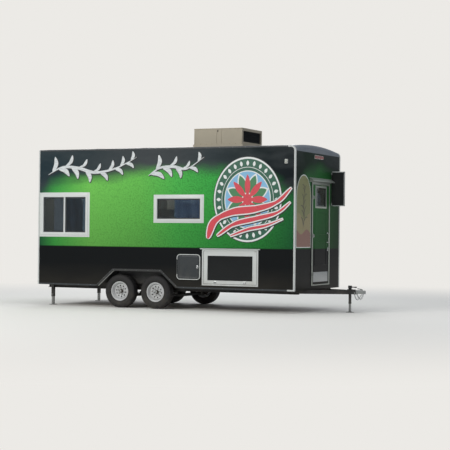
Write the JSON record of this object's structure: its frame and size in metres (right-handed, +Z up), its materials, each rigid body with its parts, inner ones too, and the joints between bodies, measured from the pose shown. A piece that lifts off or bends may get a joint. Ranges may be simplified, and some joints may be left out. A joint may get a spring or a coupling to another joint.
{
  "type": "food trailer",
  "caption": "Tandem-axle tow-behind food trailer with a crowned roof, serving windows, hinged doors and hatches, rooftop unit, tongue jack and rear legs.",
  "frame": {"origin": "on the ground at the middle of the trailer's whole length and width", "axes": "+X forward to the coupler, +Y to the trailer's left, +Z up"},
  "size_m": [7.178, 2.6623, 3.852],
  "materials": {
    "frame_steel": "black painted steel",
    "zinc_steel": "zinc plated",
    "axle_steel": "black painted, rust-stained",
    "spring_steel": "rust-stained",
    "floor_wood": "coated plywood",
    "galvanised": "galvanised",
    "wrap_right": "printed film",
    "wrap_left": "printed film",
    "wrap_front": "printed film",
    "wrap_rear": "printed film",
    "roof_sheet": "weathered",
    "trim_aluminium": "mill finish",
    "frame_white": "white enamel",
    "window_glass": "tinted",
    "frame_aluminium": "anodised",
    "dark_board": "dark",
    "dark_pane": "dark",
    "dark_door": "dark paint",
    "stainless": "brushed",
    "unit_paint": "beige enamel",
    "coil": "dark fins",
    "lamp_lens": "moulded lens",
    "tyre": "matt",
    "wheel_white": "white enamel",
    "hub_iron": "painted"
  },
  "bodies": {
    "trailer": {"main_rails": "frame_steel", "cross_tubes": "frame_steel", "tongue_frame": "frame_steel", "coupler": "zinc_steel", "jack_tube": "zinc_steel", "stabilizer_tubes": "frame_steel", "axles": "axle_steel", "leaf_springs": "spring_steel", "equalizers": "spring_steel", "floor_deck": "floor_wood", "wheel_boxes": "galvanised", "right_wall": "wrap_right", "left_wall": "wrap_left", "front_wall": "wrap_front", "rear_wall": "wrap_rear", "roof": "roof_sheet", "edge_trims": "trim_aluminium", "arch_trims": "trim_aluminium", "window_frames": "frame_white", "window_glass": "window_glass", "entry_frame": "frame_aluminium", "board_bracket": "zinc_steel", "hatch_frames": "frame_white", "hatch_liner": "galvanised", "service_frame": "frame_aluminium", "roof_unit": "unit_paint", "unit_coil": "coil", "lamps": "lamp_lens", "benches": "stainless", "range_hood": "stainless", "wall_shelf": "stainless"},
    "jack_leg": {"jack_leg": "zinc_steel"},
    "stabilizer_leg_right": {"stabilizer_leg_right": "zinc_steel"},
    "stabilizer_leg_left": {"stabilizer_leg_left": "zinc_steel"},
    "entry_door": {"entry_door": "wrap_front", "entry_door_glass": "window_glass"},
    "side_board": {"side_board": "dark_board"},
    "hatch_door": {"hatch_door": "frame_white", "hatch_pane": "dark_pane"},
    "small_door": {"small_door": "dark_door"},
    "service_hatch": {"service_hatch": "wrap_left"},
    "service_shelf": {"service_shelf": "stainless"},
    "wheel_front_right": {"tyre_front_right": "tyre", "wheel_front_right": "wheel_white", "hub_front_right": "hub_iron"},
    "wheel_front_left": {"tyre_front_left": "tyre", "wheel_front_left": "wheel_white", "hub_front_left": "hub_iron"},
    "wheel_rear_right": {"tyre_rear_right": "tyre", "wheel_rear_right": "wheel_white", "hub_rear_right": "hub_iron"},
    "wheel_rear_left": {"tyre_rear_left": "tyre", "wheel_rear_left": "wheel_white", "hub_rear_left": "hub_iron"}
  },
  "joints": [
    {"name": "front_right_wheel_turn", "type": "hinge", "parent": "trailer", "child": "wheel_front_right", "pos_m": [-0.646, -1.1575, 0.355], "axis": [0, 1, 0], "continuous": true},
    {"name": "front_left_wheel_turn", "type": "hinge", "parent": "trailer", "child": "wheel_front_left", "pos_m": [-0.646, 1.1575, 0.355], "axis": [0, 1, 0], "continuous": true},
    {"name": "rear_right_wheel_turn", "type": "hinge", "parent": "trailer", "child": "wheel_rear_right", "pos_m": [-1.51, -1.1575, 0.355], "axis": [0, 1, 0], "continuous": true},
    {"name": "rear_left_wheel_turn", "type": "hinge", "parent": "trailer", "child": "wheel_rear_left", "pos_m": [-1.51, 1.1575, 0.355], "axis": [0, 1, 0], "continuous": true},
    {"name": "jack_slide", "type": "slide", "parent": "trailer", "child": "jack_leg", "axis": [0, 0, 1], "range_m": [-0.1, 0.15]},
    {"name": "stabilizer_slide_right", "type": "slide", "parent": "trailer", "child": "stabilizer_leg_right", "axis": [0, 0, 1], "range_m": [-0.08, 0.12]},
    {"name": "stabilizer_slide_left", "type": "slide", "parent": "trailer", "child": "stabilizer_leg_left", "axis": [0, 0, 1], "range_m": [-0.08, 0.12]},
    {"name": "entry_door_swing", "type": "hinge", "parent": "trailer", "child": "entry_door", "pos_m": [2.5633, -0.335, 1.6], "axis": [0, 0, -1], "range_deg": [0, 160]},
    {"name": "side_board_fold", "type": "hinge", "parent": "trailer", "child": "side_board", "pos_m": [2.5543, 0.776, 2.6], "axis": [0, 0, 1], "range_deg": [0, 88]},
    {"name": "hatch_door_lift", "type": "hinge", "parent": "trailer", "child": "hatch_door", "pos_m": [1.112, -1.3153, 1.249], "axis": [-1, 0, 0], "range_deg": [0, 95]},
    {"name": "small_door_swing", "type": "hinge", "parent": "trailer", "child": "small_door", "pos_m": [-0.099, -1.3153, 0.9], "axis": [0, 0, -1], "range_deg": [0, 165]},
    {"name": "service_hatch_lift", "type": "hinge", "parent": "trailer", "child": "service_hatch", "pos_m": [0.662, 1.3153, 2.395], "axis": [1, 0, 0], "range_deg": [0, 100]},
    {"name": "service_shelf_fold", "type": "hinge", "parent": "trailer", "child": "service_shelf", "pos_m": [0.662, 1.3063, 1.425], "axis": [1, 0, 0], "range_deg": [0, 90]}
  ]
}
